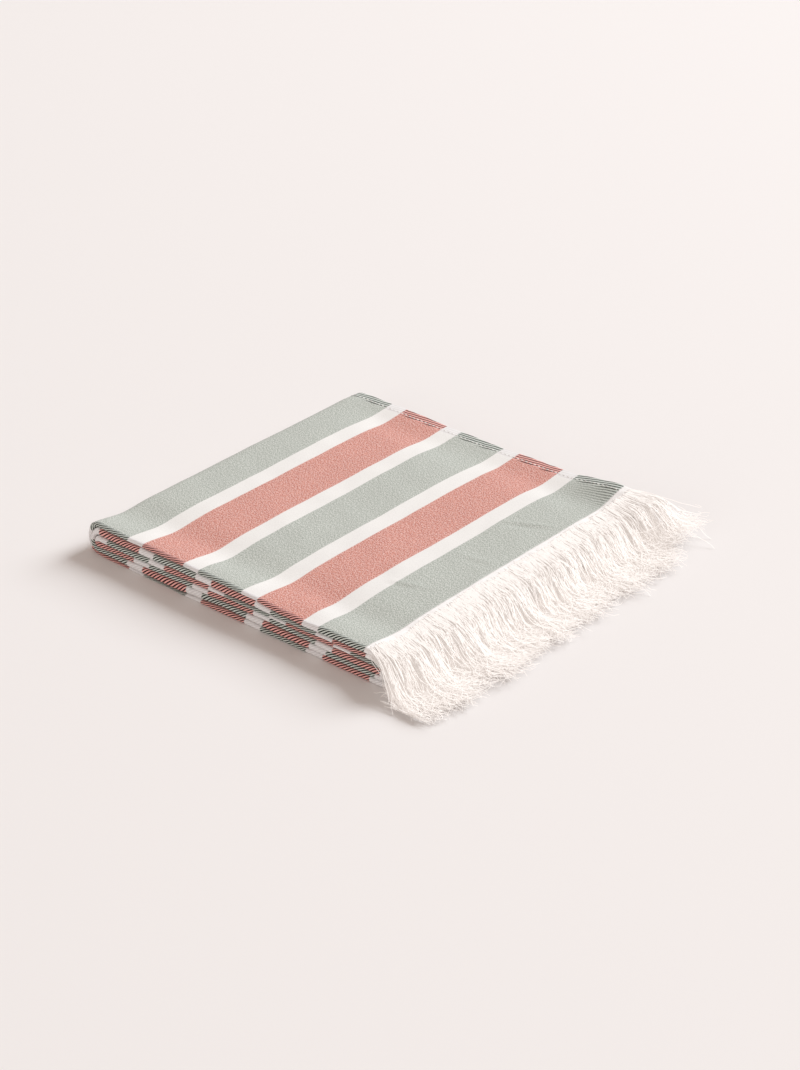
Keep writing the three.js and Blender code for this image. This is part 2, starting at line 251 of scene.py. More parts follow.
def across(w):
    """A row's section at a length w across the cloth: y, and the distance n from its middle.

    Flat at n = HALF, a half circle at the near fold, flat at n = -HALF, a small half circle at
    the far fold, and flat again inside. Below w = 0 the hem turns under in a smaller half circle.
    """
    conditions = [
        w < HEM_TURN, w < 0, w < NEAR_FOLD, w < NEAR_FOLD_END, w < FAR_FOLD, w < FAR_FOLD_END,
    ]
    hem = w / HEM_RADIUS
    near = (w - NEAR_FOLD) / HALF
    far = (w - FAR_FOLD) / FAR_RADIUS
    hem_edge = THIRD - HEM_RADIUS
    far_n = -HALF + FAR_RADIUS
    y = np.select(conditions, [
        hem_edge + (w - HEM_TURN),
        hem_edge + HEM_RADIUS * np.sin(-hem),
        THIRD - w - HEM_RADIUS * fade(w, 1.0),
        HALF - HALF * np.sin(near),
        HALF + w - NEAR_FOLD_END,
        FAR_CENTRE + FAR_RADIUS * np.sin(far),
    ], FAR_CENTRE - (w - FAR_FOLD_END))
    n = np.select(conditions, [
        HALF - 2 * HEM_RADIUS,
        HALF - HEM_RADIUS + HEM_RADIUS * np.cos(hem),
        HALF,
        HALF * np.cos(near),
        -HALF,
        far_n - FAR_RADIUS * np.cos(far),
    ], far_n + FAR_RADIUS)
    return y, n


def soft_waves(x, y, seed, shortest, longest, count=14):
    """A soft random relief, about 1 high: plane sine waves in random directions and of random
    lengths, added and divided by the root of their count.
    """
    random = np.random.default_rng(seed)
    total = np.zeros(np.broadcast(x, y).shape)
    for _ in range(count):
        heading, phase = random.uniform(0, 2 * np.pi, 2)
        wave = random.uniform(shortest, longest)
        total += np.sin((x * np.cos(heading) + y * np.sin(heading)) * 2 * np.pi / wave + phase)
    return total / np.sqrt(count)


# Small slanting puckers from one point of the top to another: three in the green stripe beside
# the fringe, and a faint one in the green stripe at the left
PUCKERS = (
    {"from": (243, 210), "to": (284, 232), "rise": 1.1, "width": 2.2},
    {"from": (236, 84), "to": (270, 96), "rise": 1.0, "width": 2.0},
    {"from": (250, 150), "to": (284, 156), "rise": 0.55, "width": 3.0},
    {"from": (30, 40), "to": (44, 84), "rise": 0.35, "width": 4.0},
)


def pucker_rise(x, y):
    """Low ridges along lines: a bell across each line with a shallower dip beside it, and along
    the line a rounded arch that ends at its two ends.
    """
    total = np.zeros(np.broadcast(x, y).shape)
    for pucker in PUCKERS:
        start, end = np.array(pucker["from"]), np.array(pucker["to"])
        length = np.linalg.norm(end - start)
        heading = (end - start) / length
        along = (x - start[0]) * heading[0] + (y - start[1]) * heading[1]
        beside = (y - start[1]) * heading[0] - (x - start[0]) * heading[1]
        middle = np.clip(1 - np.abs(2 * along / length - 1), 0, 1) ** 0.5
        width = pucker["width"]
        ridge = fade(beside, width) - 0.7 * fade(beside + 1.6 * width, width)
        total += pucker["rise"] * ridge * middle
    return total


NEAR_FADE = 25  # how far behind the near fold the stack keeps the height it has there
FAR_FADE = 22
NEAR_TROUGH_DEPTH, NEAR_TROUGH_PLACE = 2.1, 36
HEM_TROUGH_DEPTH, HEM_TROUGH_PLACE = 2.2, 30
TROUGH_WIDTH = 18
CORNER_LIFT = 5.6  # the far corner beside the fringe
LEFT_CORNER_DROP = 1.6


def stack_height(x, y):
    """The height of the settled stack: full along the near fold, with a soft trough behind it,
    flat inside, and at the far edge a second trough, a sagging hem and a lifted corner.
    """
    from_far = THIRD - y
    middle = np.maximum(0, 1 - (2 * x / STRIPED - 1) ** 2)
    near_rise = (NEAR_HEIGHT - MIDDLE_HEIGHT) * fade(y, NEAR_FADE)
    far_rise = (FAR_HEIGHT - FAR_SAG * middle - MIDDLE_HEIGHT) * fade(from_far, FAR_FADE)
    corner = CORNER_LIFT * fade(np.maximum(0, STRIPED - x), 38) * fade(from_far, 28)
    near_trough = NEAR_TROUGH_DEPTH * fade(y - NEAR_TROUGH_PLACE, TROUGH_WIDTH)
    hem_trough = HEM_TROUGH_DEPTH * fade(from_far - HEM_TROUGH_PLACE, TROUGH_WIDTH)
    troughs = near_trough + hem_trough * rise(x, 0, 55)
    round_corner = LEFT_CORNER_DROP * fade(x, 16) * fade(from_far, 12)
    ripples = 0.3 * soft_waves(x, y, 3, 45, 130) + 0.1 * soft_waves(x, y, 4, 14, 30)
    puckered_hem = 0.2 * fade(from_far, 9) * soft_waves(x, 0.3 * y, 5, 9, 24)
    puckered_band = 0.35 * fade(x - STRIPED - 9, 7) * soft_waves(0.3 * x, y, 6, 7, 18)
    details = ripples + puckered_hem + puckered_band + pucker_rise(x, y)
    return MIDDLE_HEIGHT + near_rise + far_rise + corner - troughs - round_corner + details


DRIFT = 0.8  # how far a row's edge stands out at the tops of its long waves


def edge_drift(s):
    """How far a row's edge stands out at a length s along the cloth: two long sine waves, and a
    short low one.
    """
    return DRIFT * (0.6 * np.sin(s / 61) + 0.4 * np.sin(s / 23 + 1)) + 0.15 * np.sin(s / 6.3)


# How much higher than its even place each seam between two rows lies along the near face,
# from the crease of the top row down to the seam over the lowest row
SEAM_X = (20, 60, 100, 150, 180, 205, 228, 250, 290)
SEAM_RISES = {
    "crease": (0.8, 0.6, 0.4, 0.8, -0.3, -1.4, -1.9, -0.3, -0.4),
    "under row 1": (1.7, 1.6, 1.6, 1.7, 1.2, -1.1, -2.2, -1.3, -0.9),
    "under row 2": (-0.3, 0.3, 0.9, -0.3, -0.2, -0.4, -0.4, -0.2, -0.6),
    "under row 3": (-0.6, -0.1, 0.2, 1.4, 1.6, 1.7, 0.8, 1.1, 1.3),
    "under row 4": (-1.4, -0.8, 0.0, 0.9, 1.1, 1.2, 1.2, 1.0, 0.5),
    "under row 5": (-1.5, -2.6, -3.2, 0.4, 0.0, -0.3, -0.6, 0.5, 0.6),
}


def seam_rise(x, z):
    """How far a point at the near face is moved up: each seam's rise along x, and between two
    seams straight lines in z, down to nothing at the floor.
    """
    total = np.zeros(np.broadcast(x, z).shape)
    for number, rises in enumerate(SEAM_RISES.values()):
        seam = NEAR_HEIGHT - number * PITCH + (LAYER_GAP / 2 if number else 0)
        share = np.clip(1 - np.abs(z - seam) / PITCH, 0, 1)
        total += share * np.interp(x, SEAM_X, rises)
    return total


NEAR_SPREAD = 3.3  # how far the lowest row's near fold lies in front of the top one's
WRAP_RECESS = 2.4  # how far the outer wrap's near fold lies back at the left side
EDGE_REACH = 30  # how far in from an edge its drift and its spread fade out
SEAM_REACH = 16  # how far in the seams' own heights fade out


def settle(x, y, z, s):
    """Moves points of the level stack to where they lie: rows are thicker and thinner along
    their edges, their near folds stand further out the lower they lie, the edges drift, and
    all heights follow the height of the settled stack.
    """
    level = np.clip(z, 0, NEAR_HEIGHT) / NEAR_HEIGHT
    swell = 0.5 * np.sin(z / 2.3 + x / 37) * np.sin(np.pi * level) * fade(THIRD - y, 14)
    spread = NEAR_SPREAD * (1 - level ** 2.5) - WRAP_RECESS * fade(s - OUTER_END + 14, 13)
    near_pull = (spread + edge_drift(s)) * np.maximum(0, 1 - y / EDGE_REACH)
    far_pull = edge_drift(s + THIRD) * np.maximum(0, 1 - (THIRD - y) / EDGE_REACH)
    moved = seam_rise(x, z) * fade(y, SEAM_REACH)
    height = (np.maximum(0, z) + swell + moved) * stack_height(x, y) / NEAR_HEIGHT
    return np.stack([x, y - near_pull - far_pull, np.maximum(height, 0)], -1)


def cloth_points(s, w):
    """The settled points of the cloth's outer side at lengths s along and w across it."""
    x, z, nx, nz = route(s)
    y, n = across(w)
    return settle(x + n * nx, y, z + n * nz, s)


def mesh_object(name, points, faces, uv=None, spots=()):
    """A smooth object from points and arrays of faces, each array with one count of corners.

    uv gives each point its place on the flat cloth in metres, and spots are (name, value) pairs
    of point attributes.
    """
    mesh = bpy.data.meshes.new(name)
    corners = np.concatenate([group.ravel() for group in faces]).astype(np.int32)
    sizes = np.concatenate([np.full(len(group), group.shape[1]) for group in faces])
    mesh.vertices.add(len(points))
    mesh.vertices.foreach_set("co", placed(points).astype(np.float32).ravel())
    mesh.loops.add(len(corners))
    mesh.loops.foreach_set("vertex_index", corners)
    mesh.polygons.add(len(sizes))
    mesh.polygons.foreach_set("loop_start", (np.cumsum(sizes) - sizes).astype(np.int32))
    mesh.update(calc_edges=True)
    if uv is not None:
        layer = mesh.uv_layers.new(name="cloth")
        layer.data.foreach_set("uv", uv[corners].astype(np.float32).ravel())
    for spot, value in spots:
        attribute = mesh.attributes.new(spot, "FLOAT", "POINT")
        attribute.data.foreach_set("value", np.asarray(value, np.float32).ravel())
    mesh.polygons.foreach_set("use_smooth", np.full(len(sizes), True))
    mesh.validate()
    made = bpy.data.objects.new(name, mesh)
    bpy.context.scene.collection.objects.link(made)
    return made


def grid_faces(rows, columns, first=0):
    """The quads of a grid of points in row order, whose numbers start at first."""
    i, j = np.meshgrid(np.arange(rows - 1), np.arange(columns - 1), indexing="ij")
    a = (first + i * columns + j).ravel()
    return np.stack([a, a + columns, a + columns + 1, a + 1], -1)


def bend_of(s, w):
    """How far the cloth's bend opens its twill, 0 to 1: 1 round the near and far folds and the
    four inner side turns, and up to 0.7 where the far corner beside the fringe is pulled up. The
    outer wrap's turn is wide enough to leave the twill closed. Where the twill opens, the cloth
    is coloured with ribs that carry a painted highlight on their ridges and painted shade in
    their grooves.
    """
    near = rise(w, NEAR_FOLD - 1.2, NEAR_FOLD - 0.5) - rise(w, NEAR_FOLD_END, NEAR_FOLD_END + 1.5)
    far = rise(w, FAR_FOLD - 1, FAR_FOLD) - rise(w, FAR_FOLD_END, FAR_FOLD_END + 1)
    turns = np.zeros(np.shape(s))
    for leg in LEGS[3:]:
        if "radius" in leg:
            end = leg["from"] + np.pi * abs(leg["radius"])
            turn = rise(s, leg["from"], leg["from"] + 2) - rise(s, end - 2, end)
            turns = np.maximum(turns, turn)
    pulled_corner = 0.7 * fade(s, 32) * fade(w, 28)
    return np.maximum(np.maximum(near, far), np.maximum(turns, pulled_corner))


def cloth_sheet(name, strips):
    """A cloth of one or more strips, each a grid of lengths s along and w across, given
    thickness inwards from its outer side.
    """
    points, faces, flat, bends, first = [], [], [], [], 0
    for s_line, w_line in strips:
        s, w = np.meshgrid(s_line, w_line, indexing="ij")
        points.append(cloth_points(s, w).reshape(-1, 3))
        flat.append(np.stack([pattern_place(s), w], -1).reshape(-1, 2) * MM)
        bends.append(bend_of(s, w).ravel())
        faces.append(grid_faces(len(s_line), len(w_line), first))
        first += s.size
    made = mesh_object(
        name, np.concatenate(points), [np.concatenate(faces)],
        np.concatenate(flat), [("bend", np.concatenate(bends))],
    )
    wall = made.modifiers.new("thickness", "SOLIDIFY")
    wall.thickness = CLOTH * MM
    wall.offset = -1
    return made


def steps(*stops):
    """A line of values through stops, given as value, step, value, step, value and so on."""
    line = [np.array([stops[0]], float)]
    for low, step, high in zip(stops[0:-2:2], stops[1:-1:2], stops[2::2]):
        count = max(1, int(round(abs(high - low) / step)))
        line.append(np.linspace(low, high, count + 1)[1:])
    return np.concatenate(line)


def feed(tree, socket, value):
    """Sets a socket to a value, or links it to another node's output."""
    if isinstance(value, bpy.types.NodeSocket):
        tree.links.new(value, socket)
    else:
        socket.default_value = value


def shader_node(tree, kind, **sockets):
    """A new shader node, with each named socket fed."""
    node = tree.nodes.new(kind)
    for socket, value in sockets.items():
        feed(tree, node.inputs[socket], value)
    return node


def maths(tree, operation, *values):
    """The output of a Math node with the given operation and values."""
    node = tree.nodes.new("ShaderNodeMath")
    node.operation = operation
    for socket, value in zip(node.inputs, values):
        feed(tree, socket, value)
    return node.outputs[0]


def blended(tree, share, first, second, mode="MIX"):
    """A mix of two colours: the share, from 0 to 1, is how much the second one counts."""
    node = tree.nodes.new("ShaderNodeMix")
    node.data_type = "RGBA"
    node.blend_type = mode
    feed(tree, node.inputs[0], share)
    feed(tree, node.inputs[6], first)
    feed(tree, node.inputs[7], second)
    return node.outputs[2]


def noise(tree, place, scale, detail):
    """The value of a noise texture at a place."""
    node = shader_node(tree, "ShaderNodeTexNoise", Vector=place, Scale=scale, Detail=detail)
    return node.outputs[0]


def ramp(tree, value, stops):
    """A colour ramp over value through (position, colour) stops, straight between them."""
    node = tree.nodes.new("ShaderNodeValToRGB")
    elements = node.color_ramp.elements
    while len(elements) < len(stops):
        elements.new(0.5)
    for element, (position, colour) in zip(elements, stops):
        element.position = position
        element.color = colour
    tree.links.new(value, node.inputs[0])
    return node.outputs[0]


def from_srgb(red, green, blue):
    """A linear colour from 0 to 255 screen values."""
    c = np.array([red, green, blue]) / 255
    linear = np.where(c <= 0.04045, c / 12.92, ((c + 0.055) / 1.055) ** 2.4)
    return (*linear.tolist(), 1)


YARN_EDGE = 0.25  # half the width over which one stripe's colour turns to the next


def stripe_colours(tree, s, green, coral, white):
    """The stripe colours along the cloth: green, white, coral, white, with edges a yarn wide."""
    soft = YARN_EDGE / REPEAT
    repeats = maths(tree, "DIVIDE", maths(tree, "ADD", s, WHITE / 2 * MM), REPEAT * MM)
    place = maths(tree, "FRACT", repeats)
    edges = np.cumsum([WHITE / 2, STRIPE, WHITE, STRIPE]) / REPEAT
    colours = [white, green, white, coral, white]
    stops = [(0.0, white)]
    for edge, before, after in zip(edges, colours, colours[1:]):
        stops += [(edge - soft, before), (edge + soft, after)]
    return ramp(tree, place, stops)


FLAT_GREEN = from_srgb(195, 199, 191)
FLAT_CORAL = from_srgb(227, 162, 146)
FLAT_WHITE = from_srgb(243, 240, 236)
# The ribs' colours where the twill opens: the ridges are the stripe colours with a painted
# highlight, and the grooves are them with painted shade, nearly black on the green and coral.
RIDGE_HIGHLIGHT_GREEN = from_srgb(218, 224, 216)
RIDGE_HIGHLIGHT_CORAL = from_srgb(252, 186, 177)
RIDGE_HIGHLIGHT_WHITE = from_srgb(242, 239, 238)
GROOVE_SHADE_GREEN = from_srgb(14, 22, 18)
GROOVE_SHADE_CORAL = from_srgb(52, 2, 8)
GROOVE_SHADE_WHITE = from_srgb(228, 224, 223)
FLECK_GREEN = from_srgb(152, 158, 147)
FLECK_CORAL = from_srgb(172, 88, 78)
FLECK_WHITE = from_srgb(234, 231, 227)
NONE = (0, 0, 0, 1)
ALL = (1, 1, 1, 1)
YARN_STRETCH = (1.0, 0.6, 1.0)  # specks are longer across the cloth
YARN_NOISE = 1400  # specks of single yarns, under a millimetre
THICK_YARN_NOISE = 620  # thicker places in the yarns
CLOUD_NOISE = 28  # soft changes of tone, some centimetres wide
WANDER_NOISE = 120  # small bends in the ribs
SPECK_SHARE, DARK_YARN_SHARE, THICK_YARN_SHARE = 0.48, 0.9, 0.22
BUMP_DEPTH = 0.3 * MM
TWILL = 0.9  # from one line of the closed twill to the next
RIB = 3.45  # from one opened twill rib to the next along a fold
RIB_SLANT = 1.65  # how far a rib runs along a fold for each millimetre across it
HEM_RIB = 2.9  # from one rib to the next across the turned hem
HEM_RIB_SLANT = 0.14  # how far a rib runs across the hem for each millimetre along it
HEM_PART = 60  # the ribs run nearly along the hem up to this far from it
# On the hem, the ribs' painted highlight and painted shade show at least this strongly.
HEM_OPENED = 0.8  # how far the twill is opened on the hem


def striped_cotton(name, stitched=False):
    """Striped twill cotton: dyed yarn over a white warp that shows as a fine speckle. Where the
    cloth bends, the twill opens into ribs, coloured with a painted highlight on their ridges
    and painted shade in their dark grooves.
    """
    material, tree, shader = material_of(name)
    uv = tree.nodes.new("ShaderNodeUVMap")
    uv.uv_map = "cloth"
    parts = shader_node(tree, "ShaderNodeSeparateXYZ", Vector=uv.outputs[0])
    s, w = parts.outputs[0], parts.outputs[1]
    flat = stripe_colours(tree, s, FLAT_GREEN, FLAT_CORAL, FLAT_WHITE)
    ridge = stripe_colours(tree, s, RIDGE_HIGHLIGHT_GREEN, RIDGE_HIGHLIGHT_CORAL, RIDGE_HIGHLIGHT_WHITE)
    groove_shade = stripe_colours(tree, s, GROOVE_SHADE_GREEN, GROOVE_SHADE_CORAL, GROOVE_SHADE_WHITE)
    fleck = stripe_colours(tree, s, FLECK_GREEN, FLECK_CORAL, FLECK_WHITE)

    cloth_place = uv.outputs[0]
    stretch = shader_node(tree, "ShaderNodeMapping", Vector=cloth_place, Scale=YARN_STRETCH)
    stretched = stretch.outputs[0]
    yarn = noise(tree, stretched, YARN_NOISE, 1)
    uneven = noise(tree, stretched, THICK_YARN_NOISE, 2)
    cloudy = noise(tree, cloth_place, CLOUD_NOISE, 2)
    speck = ramp(tree, yarn, [(0.52, NONE), (0.62, ALL)])
    dark_yarn = ramp(tree, yarn, [(0.39, ALL), (0.485, NONE)])
    thick_yarn = ramp(tree, uneven, [(0.42, ALL), (0.56, NONE)])
    tone = ramp(tree, cloudy, [(0.3, (0.965, 0.965, 0.965, 1)), (0.7, ALL)])
    speckled = blended(tree, maths(tree, "MULTIPLY", speck, SPECK_SHARE), flat, FLAT_WHITE)
    speckled = blended(tree, maths(tree, "MULTIPLY", dark_yarn, DARK_YARN_SHARE), speckled, fleck)
    speckled = blended(tree, maths(tree, "MULTIPLY", thick_yarn, THICK_YARN_SHARE), speckled, fleck)
    speckled = blended(tree, 1.0, speckled, tone, "MULTIPLY")

    steep = maths(tree, "MULTIPLY", w, RIB_SLANT)
    fold_slant = maths(tree, "DIVIDE", maths(tree, "SUBTRACT", s, steep), RIB * MM)
    nearly_level = maths(tree, "SUBTRACT", maths(tree, "MULTIPLY", s, HEM_RIB_SLANT), w)
    hem_slant = maths(tree, "DIVIDE", nearly_level, HEM_RIB * MM)
    near_part = maths(tree, "GREATER_THAN", w, HEM_PART * MM)
    further = maths(tree, "MULTIPLY", maths(tree, "SUBTRACT", fold_slant, hem_slant), near_part)
    slant = maths(tree, "ADD", hem_slant, further)
    wander = noise(tree, cloth_place, WANDER_NOISE, 1)
    slant = maths(tree, "ADD", slant, maths(tree, "MULTIPLY", wander, 0.5))
    rib = maths(tree, "ABSOLUTE", maths(tree, "SUBTRACT", maths(tree, "FRACT", slant), 0.5))
    # Painted shade in the grooves and a painted highlight on the ridges, mixed in where the twill
    # opens.
    groove_share = ramp(tree, rib, [(0.21, ALL), (0.30, NONE)])
    ribs_with_painted_light = blended(tree, groove_share, ridge, groove_shade)
    bend = tree.nodes.new("ShaderNodeAttribute")
    bend.attribute_name = "bend"
    opened = bend.outputs["Fac"]
    if stitched:
        opened = maths(tree, "MAXIMUM", opened, HEM_OPENED)
    colour = blended(tree, opened, speckled, ribs_with_painted_light)
    tree.links.new(colour, shader.inputs["Base Color"])

    diagonal = maths(tree, "SUBTRACT", s, w)
    twill = maths(tree, "SINE", maths(tree, "MULTIPLY", diagonal, 2 * np.pi / (TWILL * MM)))
    fine = maths(tree, "ADD", maths(tree, "MULTIPLY", twill, 0.25), yarn)
    opened_groove = maths(tree, "MULTIPLY", groove_share, opened)
    raised = maths(tree, "SUBTRACT", fine, maths(tree, "MULTIPLY", opened_groove, 2.5))
    bump = shader_node(tree, "ShaderNodeBump", Height=raised, Strength=0.02, Distance=BUMP_DEPTH)
    tree.links.new(bump.outputs[0], shader.inputs["Normal"])
    shader.inputs["Roughness"].default_value = 0.88
    shader.inputs["Sheen Weight"].default_value = 0.12
    shader.inputs["Sheen Roughness"].default_value = 0.5
    shader.inputs["Specular IOR Level"].default_value = 0.25
    return material


striped = striped_cotton("striped_cotton")
LIP = 6  # how far the single cloth reaches back under the near fold
HEM_LAP = 1.6  # how far the single cloth goes in under the hem
top_s = steps(0, 1.5, LEGS[1]["from"], 1.2, OUTER_END)
LIP_END = NEAR_FOLD_END + LIP - HALF
top_w = steps(
    HEM - HEM_LAP, 1.5, 60, 3, 235, 2, 300, 0.8, NEAR_FOLD - 1.6, 0.35,
    NEAR_FOLD, 0.4, NEAR_FOLD_END, 1, LIP_END,
)
top_cloth = cloth_sheet("top_cloth", [(top_s, top_w)])
top_cloth.data.materials.append(striped)
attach(top_cloth, "root")
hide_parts("top_panel")

# The folded rows: the same cloth going on under the top in five more rows, each of three layers.
# They show as rounded folds at the near face, the two sides and the far face.
TURN_STEP = 0.8
RUN_STEP = 3.6


def row_lengths():
    """Lengths along the five lower rows: small steps round their side turns, long ones between."""
    line = []
    ends = [leg["from"] for leg in LEGS[3:]] + [STRIPES_END]
    for leg, end in zip(LEGS[2:], ends):
        step = TURN_STEP if "radius" in leg else RUN_STEP
        line.append(steps(leg["from"], step, end)[:-1])
    return np.concatenate(line + [[STRIPES_END]])


row_s = row_lengths()
row_w = steps(
    HEM_TURN - HEM, 4, HEM_TURN, 0.4, 0, 0.7, 2, 4, 18, 20, 250, 10, 290, 4, 302, 1.4,
    NEAR_FOLD, 0.5, NEAR_FOLD_END, 1.4, NEAR_FOLD_END + 8, 5, NEAR_FOLD_END + 28, 60,
    FAR_FOLD - 30, 6, FAR_FOLD - 3, 1, FAR_FOLD, 0.45, FAR_FOLD_END, 4, FAR_FOLD_END + 12,
)
lining_w = row_w[row_w > LIP_END]
folded_rows = cloth_sheet("folded_rows", [(row_s, row_w), (steps(0, 3, OUTER_END), lining_w)])
folded_rows.data.materials.append(striped)
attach(folded_rows, "root")
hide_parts("folded_core")

# The side hem: the cloth's edge turned under twice, pressed and stitched, along the far edge
# and round the left side. It stands a little over the single cloth.
HEM_RISE = 0.25  # how far the hem stands over the single cloth
HEM_UNDERSIDE = 0.65  # where its lower side lies over the middle of the row


def hem_section(steps_round=8):
    """The hem's section, as y and the distance n from the row's middle: a thin band with a round
    outer edge, whose inner edge slopes down gently and goes in under the single cloth.
    """
    thick = HALF - HEM_UNDERSIDE + HEM_RISE
    turn = np.linspace(-np.pi / 2, np.pi / 2, steps_round)
    edge = thick / 2
    outer_y = THIRD - edge + edge * np.cos(turn)
    outer_n = HALF + HEM_RISE - edge + edge * np.sin(turn)
    top_y = THIRD - np.array([1.6, 3, 4.6, 6, 7, 8, 9, 9.8, 10.4, 11.4])
    top_n = HALF + HEM_RISE * np.array([1, 1, 1, 1, 0.9, 0.72, 0.45, 0.15, -0.1, -0.7])
    under_y = np.array([THIRD - HEM, THIRD - 5])
    under_n = np.array([HEM_UNDERSIDE, HEM_UNDERSIDE])
    return np.concatenate([under_y, outer_y, top_y]), np.concatenate([under_n, outer_n, top_n])


FLAT_PLACE = 50  # the hem's own bend is read at this w, where the cloth lies flat


def carried_ring(name, s_line, y, n, material):
    """A closed ring of points (y, n) carried along the cloth's length and settled, as a tube."""
    s = np.repeat(s_line[:, None], len(y), 1)
    x, z, nx, nz = route(s)
    points = settle(x + n * nx, np.broadcast_to(y, s.shape), z + n * nz, s).reshape(-1, 3)
    rows, columns = s.shape
    i, j = np.meshgrid(np.arange(rows - 1), np.arange(columns), indexing="ij")
    a = (i * columns + j).ravel()
    b = (i * columns + (j + 1) % columns).ravel()
    sides = np.stack([a, a + columns, b + columns, b], -1)
    caps = [np.arange(columns)[None], (np.arange(columns)[::-1] + (rows - 1) * columns)[None]]
    flat = np.stack([pattern_place(s), THIRD - np.broadcast_to(y, s.shape)], -1).reshape(-1, 2) * MM
    bend = bend_of(s, np.full(s.shape, FLAT_PLACE))
    made = mesh_object(name, points, [sides, np.concatenate(caps)], flat, [("bend", bend)])
    made.data.materials.append(material)
    return made


hem_y, hem_n = hem_section()
hem_cotton = striped_cotton("hem_cotton", stitched=True)
side_hem = carried_ring("stitched_hem", top_s, hem_y, hem_n, hem_cotton)
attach(side_hem, "root")
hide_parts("side_hem")

# The hem's seam: one row of running stitches in white thread, near the hem's inner edge. Each
# stitch shows as a short flat bead of thread that dips into the hem at both ends.
STITCH_LENGTH = 2.7
STITCH_PITCH = 4.3
STITCH_FROM_EDGE = 7.9
STITCH_WIDTH = 0.6  # half of it, from the middle to one side
STITCH_FLATNESS = 0.45  # the share of its width that it is thick
STITCH_RISE = 0.06
STITCH_BED = HALF + 0.8 * HEM_RISE  # where the hem's slope lies under the stitches
FIBRE_NOISE = 1500


def tube_faces(count, places, sides):
    """The walls and end caps of tubes whose points are numbered tube by place by side."""
    t, i, k = np.meshgrid(np.arange(count), np.arange(places - 1), np.arange(sides), indexing="ij")
    base = (t * places + i) * sides
    a = (base + k).ravel()
    b = (base + (k + 1) % sides).ravel()
    walls = np.stack([a, a + sides, b + sides, b], -1)
    start = (np.arange(count) * places * sides)[:, None] + np.arange(sides)
    caps = np.concatenate([start, start[:, ::-1] + (places - 1) * sides])
    return walls, caps


def seam_stitches(name, middles, sides=6, places=7):
    """Short beads along the hem: a low half sine in height along each, and a flattened round
    section that narrows as a half ellipse does to both ends.
    """
    along = np.linspace(-0.5, 0.5, places)
    turn = np.arange(sides) * 2 * np.pi / sides
    plump = np.sqrt(np.maximum(0.04, 1 - (2 * along) ** 2))
    shape = (len(middles), places, sides)
    s = np.broadcast_to(middles[:, None, None] + along[None, :, None] * STITCH_LENGTH, shape)
    radius = (STITCH_WIDTH * plump)[None, :, None]
    y = THIRD - STITCH_FROM_EDGE + np.broadcast_to(radius * np.cos(turn), shape)
    lift = STITCH_RISE * (np.cos(along * np.pi)[None, :, None] - 0.4)
    n = STITCH_BED + np.broadcast_to(lift + STITCH_FLATNESS * radius * np.sin(turn), shape)
    x, z, nx, nz = route(s)
    points = settle(x + n * nx, y, z + n * nz, s).reshape(-1, 3)
    return mesh_object(name, points, tube_faces(len(middles), places, sides))


stitches = seam_stitches("hem_stitches", np.arange(3, OUTER_END - 3, STITCH_PITCH))
stitch_thread, stitch_tree, stitch_shader = material_of("white_sewing_thread")
object_place = stitch_tree.nodes.new("ShaderNodeTexCoord").outputs["Object"]
fibre = noise(stitch_tree, object_place, FIBRE_NOISE, 2)
stitch_colour = ramp(stitch_tree, fibre, [
    (0.3, from_srgb(232, 229, 224)),
    (0.6, from_srgb(250, 248, 245)),
])
stitch_tree.links.new(stitch_colour, stitch_shader.inputs["Base Color"])
stitch_shader.inputs["Roughness"].default_value = 0.7
stitches.data.materials.append(stitch_thread)
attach(stitches, "root")
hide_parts("side_hem")

# The end bands: plain white weaving between the last stripe and the fringe, three layers deep,
# one at the end of the top row and one at the end of the row under it.
END_BAND = 10
GRAIN_NOISE = 1100


def plain_weave(name):
    """Plain off-white cotton weave with a fine grain."""
    material, tree, shader = material_of(name)
    uv = tree.nodes.new("ShaderNodeUVMap")
    uv.uv_map = "cloth"
    grain = noise(tree, uv.outputs[0], GRAIN_NOISE, 2)
    colour = ramp(tree, grain, [
        (0.3, from_srgb(245, 240, 236)),
        (0.6, from_srgb(253, 250, 248)),
    ])
    tree.links.new(colour, shader.inputs["Base Color"])
    bump = shader_node(tree, "ShaderNodeBump", Height=grain, Strength=0.2, Distance=BUMP_DEPTH)
    tree.links.new(bump.outputs[0], shader.inputs["Normal"])
    shader.inputs["Roughness"].default_value = 0.9
    shader.inputs["Sheen Weight"].default_value = 0.1
    return material


white_weave = plain_weave("plain_white_weave")
band_w = steps(
    HEM_TURN - HEM, 3, HEM_TURN, 0.4, 0, 1.2, 300, 1, NEAR_FOLD, 0.4, NEAR_FOLD_END, 3,
    FAR_FOLD - 2, 1, FAR_FOLD, 0.4, FAR_FOLD_END, 4, FAR_FOLD_END + 300,
)
end_band_top = cloth_sheet("end_band_top", [(steps(-END_BAND, 1, 0), band_w)])
under_s = steps(STRIPES_END, 1.5, STRIPES_END + END_BAND)
end_band_under = cloth_sheet("end_band_under", [(under_s, band_w)])
for band, node in ((end_band_top, "fringe_top"), (end_band_under, "fringe_under")):
    band.data.materials.append(white_weave)
    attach(band, "root")
    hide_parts(node)

# The fringes: loose untwisted warp threads, left long past the end bands. They drop over the
# edge, gather into soft locks, and curl and tangle where they lie out on the floor.
THREAD_SIDES = 3
THREAD_PLACES = 20
NEAR_SIDE, FAR_SIDE = -8, 330  # the fringe's two sides where it lies on the floor
SIDE_GIVE = 14  # the most that a thread lies past them
LOWEST = 0.35  # the lowest that a thread's middle lies over the floor
LEAST_ADVANCE = 0.12  # the least of each step that goes along the floor's directions


def column(values):
    """One value for each thread, as a column that goes with a row of places along it."""
    return np.asarray(values)[:, None]


